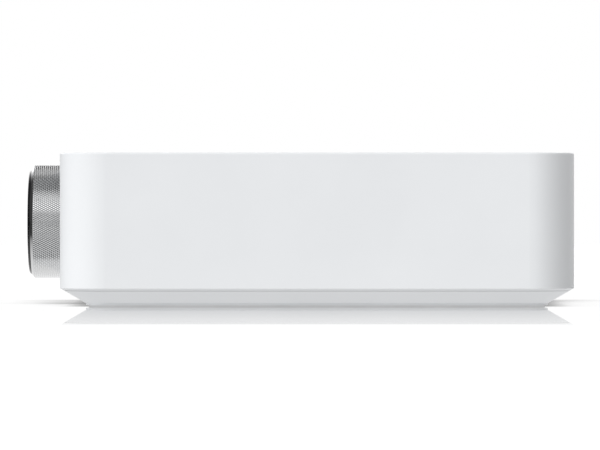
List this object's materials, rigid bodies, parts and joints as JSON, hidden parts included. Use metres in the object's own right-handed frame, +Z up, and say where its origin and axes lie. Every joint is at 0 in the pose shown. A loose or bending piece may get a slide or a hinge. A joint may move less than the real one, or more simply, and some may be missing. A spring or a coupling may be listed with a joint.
{
  "type": "network music streamer",
  "caption": "Low rounded white box with a bevelled foot and a large knurled push-and-turn knob with a black gloss face; mains, network, data and audio sockets at the rear.",
  "frame": {"origin": "centre of the square footprint, on the plane that the foot ring stands on", "axes": "+Z up, -Y towards the knob at the front, +Y towards the sockets at the back"},
  "size_m": [0.2, 0.2162, 0.0597],
  "materials": {
    "case_white": "fine satin moulding",
    "foot_rubber": "matte",
    "panel_black": "fine texture",
    "screw_steel": "zinc plated",
    "screw_black": "black oxide",
    "knob_aluminium": "diamond knurled, satin",
    "knob_gloss": "high gloss",
    "hub_plastic": "moulded",
    "shaft_steel": "turned",
    "encoder_black": "moulded",
    "board_green": "lacquered board",
    "chip_black": "moulded",
    "shield_tin": "tinned sheet",
    "fin_black": "black anodised",
    "can_sleeve": "sleeved",
    "coil_tape": "taped winding",
    "filter_grey": "moulded",
    "socket_black": "moulded",
    "contact_gold": "gold plated",
    "pin_nickel": "nickel plated",
    "lens_clear": "clear",
    "lamp_white": "moulded",
    "ribbon_white": "flat film",
    "plug_white": "moulded",
    "lead_red": "insulation",
    "lead_grey": "insulation",
    "ring_white": "moulded",
    "ring_red": "moulded",
    "ring_dark": "moulded",
    "tongue_white": "moulded",
    "flap_grey": "moulded",
    "button_grey": "moulded"
  },
  "bodies": {
    "root": {"top_shell": "case_white", "base_tray": "case_white", "foot_ring": "foot_rubber", "rear_panel": "panel_black", "case_screws": "screw_steel", "main_board_screws": "screw_steel", "power_board_screws": "screw_steel", "encoder_board_screws": "screw_steel", "jack_screws": "screw_black", "encoder_frame": "shaft_steel", "encoder_washer": "shaft_steel", "encoder_nut": "shaft_steel", "encoder_case": "encoder_black", "push_switch": "encoder_black", "reset_switch": "encoder_black", "network_magnetics": "encoder_black", "main_board": "board_green", "power_board": "board_green", "encoder_board": "board_green", "aerials": "board_green", "processor": "chip_black", "audio_chips": "chip_black", "wifi_module": "shield_tin", "network_shield": "shield_tin", "usb_shield": "shield_tin", "heat_sink": "fin_black", "power_heat_sink": "fin_black", "audio_capacitors": "can_sleeve", "output_capacitors": "can_sleeve", "mains_capacitor": "can_sleeve", "power_transformer": "coil_tape", "mains_filter": "filter_grey", "mains_inlet": "socket_black", "network_insert": "socket_black", "optical_housing": "socket_black", "phono_blocks": "socket_black", "network_contacts": "contact_gold", "phono_sleeves": "contact_gold", "phono_contacts": "contact_gold", "inlet_pins": "pin_nickel", "status_lens": "lens_clear", "status_led": "lamp_white", "control_ribbon": "ribbon_white", "ribbon_sockets": "plug_white", "lead_plugs": "plug_white", "power_lead": "lead_red", "aerial_leads": "lead_grey", "phono_rings_white": "ring_white", "phono_rings_red": "ring_red", "phono_rings_dark": "ring_dark", "usb_tongue": "tongue_white"},
    "encoder_rotor": {"encoder_rotor": "hub_plastic"},
    "knob": {"knob_ring": "knob_aluminium", "knob_glass": "knob_gloss", "knob_hub": "hub_plastic", "encoder_shaft": "shaft_steel"},
    "reset_button": {"reset_button": "button_grey"},
    "optical_flap": {"optical_flap": "flap_grey"}
  },
  "joints": [
    {"name": "knob_turn", "type": "hinge", "parent": "root", "child": "encoder_rotor", "pos_m": [0, -0.0962, 0.03302], "axis": [0, 1, 0], "continuous": true},
    {"name": "knob_push", "type": "slide", "parent": "encoder_rotor", "child": "knob", "axis": [0, 1, 0], "range_m": [0, 0.0005], "stiffness_N_per_m": 4000, "springref_m": -0.0003},
    {"name": "reset_push", "type": "slide", "parent": "root", "child": "reset_button", "axis": [0, -1, 0], "range_m": [0, 0.0006], "stiffness_N_per_m": 400, "springref_m": -0.0004},
    {"name": "optical_flap_swing", "type": "hinge", "parent": "root", "child": "optical_flap", "pos_m": [0.01501, 0.09005, 0.0205], "axis": [-1, 0, 0], "range_deg": [0, 80], "stiffness_Nm_per_rad": 0.0004, "springref_deg": -20.05}
  ]
}
